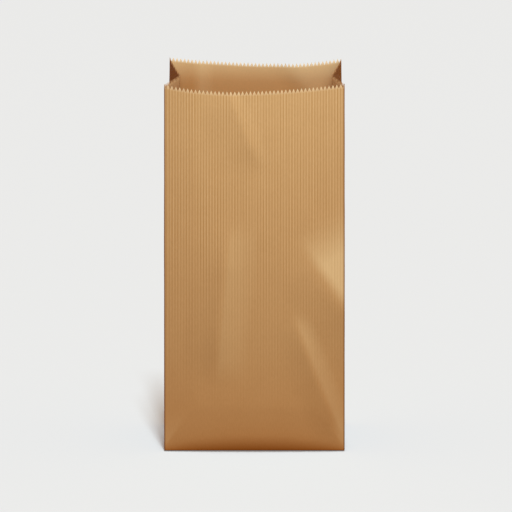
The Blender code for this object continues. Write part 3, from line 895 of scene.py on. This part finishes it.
def studio_floor():
    """A pale plain floor. To the camera it is the background's grey, with the shadow that falls on it."""
    corners = [(x * FLOOR_HALF, y * FLOOR_HALF, 0.0) for x, y in ((-1, -1), (1, -1), (1, 1), (-1, 1))]
    mesh = bpy.data.meshes.new("studio_floor")
    mesh.from_pydata(corners, [], [(0, 1, 2, 3)])
    floor = bpy.data.objects.new("studio_floor", mesh)
    bpy.context.collection.objects.link(floor)
    material = new_material("matt_backdrop_paper")
    tree = material.node_tree
    lit = add_node(tree, "ShaderNodeBsdfDiffuse", {0: colour(FLOOR_TINT)})
    even = add_node(tree, "ShaderNodeEmission", {0: colour(BACKGROUND), 1: 1.0})
    seen = add_node(tree, "ShaderNodeMixShader", {0: FLOOR_EVENNESS, 1: lit.outputs[0], 2: even.outputs[0]})
    dim = add_node(tree, "ShaderNodeBsdfDiffuse", {0: colour(FLOOR_BOUNCE)})
    looks = {0: direct_sight(tree), 1: dim.outputs[0], 2: seen.outputs[0]}
    shown = add_node(tree, "ShaderNodeMixShader", looks)
    add_node(tree, "ShaderNodeOutputMaterial", {0: shown.outputs[0]})
    material.cycles.emission_sampling = "NONE"
    mesh.materials.append(material)
    return floor


def direct_sight(tree):
    """1 for a ray from the camera, a gloss or a clear surface."""
    path = add_node(tree, "ShaderNodeLightPath").outputs
    either = {0: path["Is Camera Ray"], 1: path["Is Glossy Ray"]}
    gloss = add_node(tree, "ShaderNodeMath", either, operation="MAXIMUM")
    either = {0: gloss.outputs[0], 1: path["Is Transmission Ray"]}
    clear = add_node(tree, "ShaderNodeMath", either, operation="MAXIMUM")
    return clear.outputs[0]


def studio_air():
    """The room's even light, and the background's grey where nothing stands before it."""
    world = bpy.data.worlds.new("studio_air")
    bpy.context.scene.world = world
    world.use_nodes = True
    tree = world.node_tree
    tree.nodes.clear()
    room = add_node(tree, "ShaderNodeBackground", {0: colour(ROOM_TINT), 1: ROOM_LIGHT})
    grey = add_node(tree, "ShaderNodeBackground", {0: colour(BACKGROUND), 1: 1.0})
    looks = {0: direct_sight(tree), 1: room.outputs[0], 2: grey.outputs[0]}
    shown = add_node(tree, "ShaderNodeMixShader", looks)
    add_node(tree, "ShaderNodeOutputWorld", {0: shown.outputs[0]})


def add_lamp(name, kind, place, aim, energy, receivers, **settings):
    """A lamp that lights only the receivers."""
    data = bpy.data.lights.new(name, kind)
    data.energy = energy
    for key, value in settings.items():
        setattr(data, key, value)
    lamp = bpy.data.objects.new(name, data)
    bpy.context.collection.objects.link(lamp)
    lamp.location = place
    lamp.rotation_euler = (aim - place).to_track_quat("-Z", "Y").to_euler()
    lit = bpy.data.collections.new(name + "_lights")
    for item in receivers:
        lit.objects.link(item)
    lamp.light_linking.receiver_collection = lit
    lamp.visible_camera = False
    return lamp


def towards(azimuth, elevation):
    """A unit vector. Azimuth 0 is the camera's side and 90 the bag's right, in degrees."""
    a, e = radians(azimuth), radians(elevation)
    return Vector((sin(a) * cos(e), -cos(a) * cos(e), sin(e)))


def add_camera():
    data = bpy.data.cameras.new("camera")
    data.type = "ORTHO"
    data.ortho_scale = VIEW_WIDTH
    data.clip_end = 10 * VIEW_DISTANCE
    camera = bpy.data.objects.new("camera", data)
    bpy.context.collection.objects.link(camera)
    back = towards(0.0, VIEW_ELEVATION)
    camera.location = AIM + back * VIEW_DISTANCE
    camera.rotation_euler = (-back).to_track_quat("-Z", "Y").to_euler()
    bpy.context.scene.camera = camera


bag = lunch_bag()
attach(bag, "root")
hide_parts("paper_bag")

floor = studio_floor()
studio_air()
middle = Vector((0.0, 0.0, BAG_HEIGHT / 2))
key = add_lamp("key_light", "AREA", KEY_PLACE, KEY_AIM, KEY_POWER, [bag], size=FRONT_LAMP_SIZE)
key.data.color = colour(KEY_TINT)[:3]
place = middle + towards(*FILL_FROM) * FILL_DISTANCE
fill = add_lamp("front_fill", "AREA", place, middle, FILL_POWER, [bag], size=FRONT_LAMP_SIZE)
fill.data.color = colour(FILL_TINT)[:3]
place = middle + towards(*REAR_FROM) * REAR_DISTANCE
rear = add_lamp("rear_light", "AREA", place, middle, REAR_POWER, [bag], size=REAR_LAMP_SIZE)
rear.data.color = colour(KEY_TINT)[:3]
for azimuth in REAR_SIDE_AZIMUTHS:
    place = middle + towards(azimuth, REAR_SIDE_ELEVATION) * REAR_DISTANCE
    side = add_lamp("rear_side_light", "AREA", place, middle, REAR_SIDE_POWER, [bag], size=REAR_LAMP_SIZE)
    side.data.color = colour(REAR_SIDE_TINT)[:3]
# overhead, narrow from side to side and long from front to back: the shadow has a sharp side and a soft end
place = towards(*STRIP_FROM) * STRIP_DISTANCE
strip = add_lamp("floor_strip", "AREA", place, Vector((0, 0, 0)), STRIP_POWER, [floor], size=STRIP_WIDTH)
strip.data.shape = "RECTANGLE"
strip.data.size_y = STRIP_LENGTH
add_camera()

bpy.context.scene.view_settings.view_transform = "Standard"
